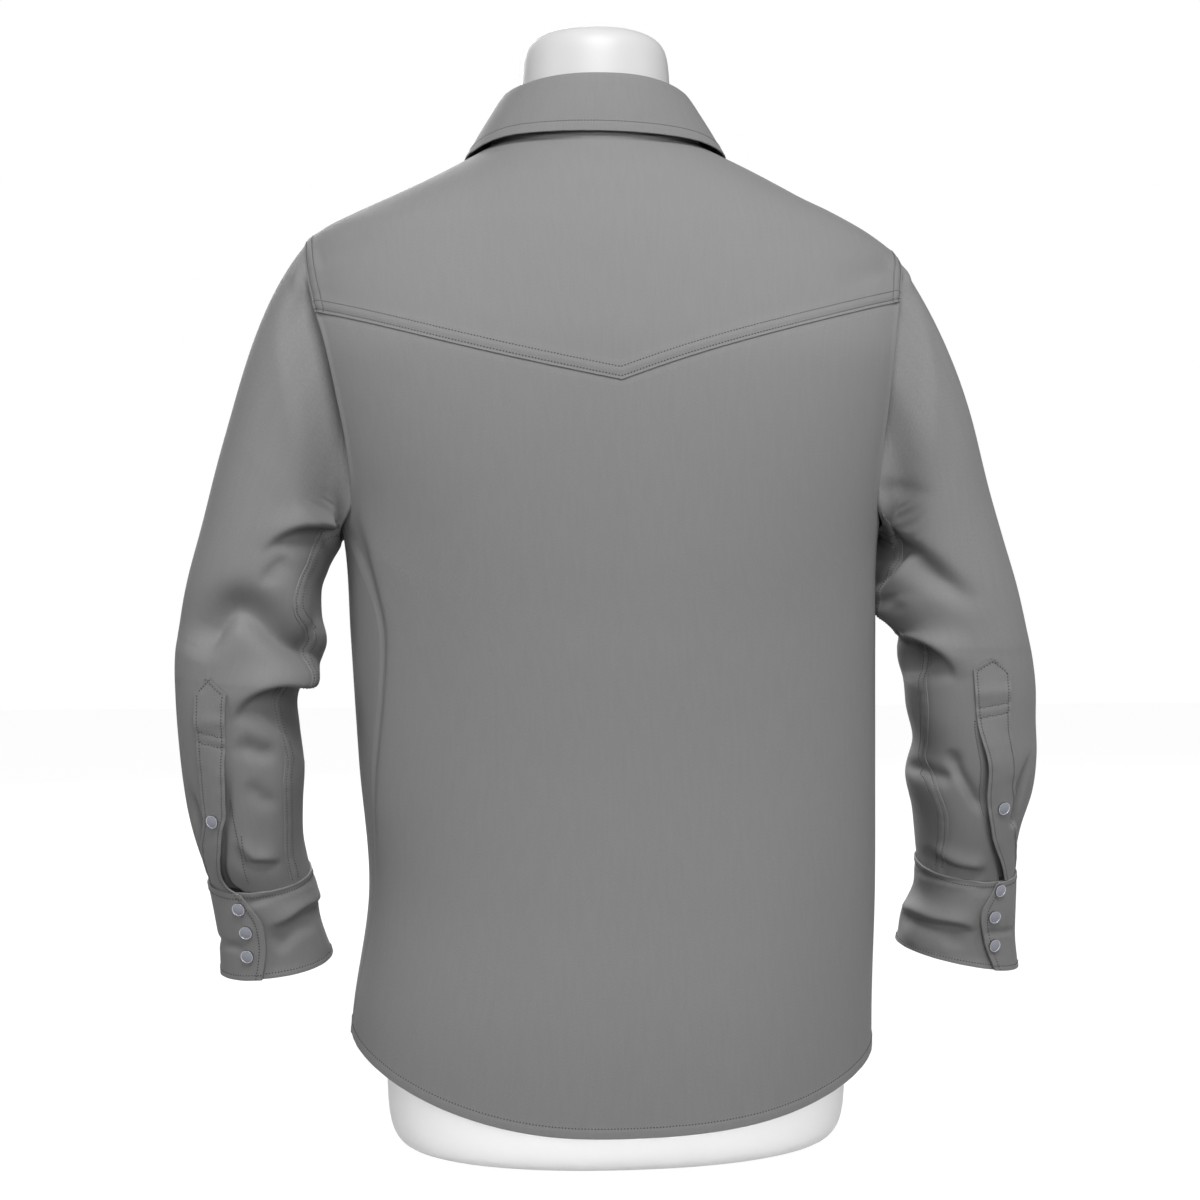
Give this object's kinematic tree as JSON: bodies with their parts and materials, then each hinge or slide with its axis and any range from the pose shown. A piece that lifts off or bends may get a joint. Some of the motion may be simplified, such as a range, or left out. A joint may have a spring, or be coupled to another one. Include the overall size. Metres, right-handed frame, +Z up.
{
  "type": "flame-resistant work shirt on a limbless dress form",
  "caption": "Long-sleeved work shirt with a pointed back yoke, snap front and cuffs, worn by a smooth limbless torso form that stands on its flat base.",
  "frame": {"origin": "centre of the flat base that the dress form stands on", "axes": "+Z up, the shirt's front faces -Y and its back +Y, +X towards the wearer's left sleeve"},
  "size_m": [0.6864, 0.2722, 0.891],
  "materials": {
    "form": "smooth white",
    "cloth": "plain mid-grey twill",
    "snap_metal": "bluish grey cap in a bright ring"
  },
  "bodies": {
    "root": {"dress_form": "form", "back_panel": "cloth", "back_yoke": "cloth", "front_left": "cloth", "front_right": "cloth", "front_band": "cloth", "collar_stand": "cloth", "collar_leaf": "cloth", "sleeve_left": "cloth", "sleeve_right": "cloth", "sleeve_placket_left": "cloth", "sleeve_placket_right": "cloth", "cuff_left": "cloth", "cuff_right": "cloth", "front_snap_1": "snap_metal", "front_snap_2": "snap_metal", "front_snap_3": "snap_metal", "front_snap_4": "snap_metal", "front_snap_5": "snap_metal", "front_snap_6": "snap_metal", "front_snap_7": "snap_metal", "sleeve_snap_left": "snap_metal", "sleeve_snap_right": "snap_metal", "cuff_snap_left_1": "snap_metal", "cuff_snap_left_2": "snap_metal", "cuff_snap_left_3": "snap_metal", "cuff_snap_right_1": "snap_metal", "cuff_snap_right_2": "snap_metal", "cuff_snap_right_3": "snap_metal"}
  },
  "joints": []
}
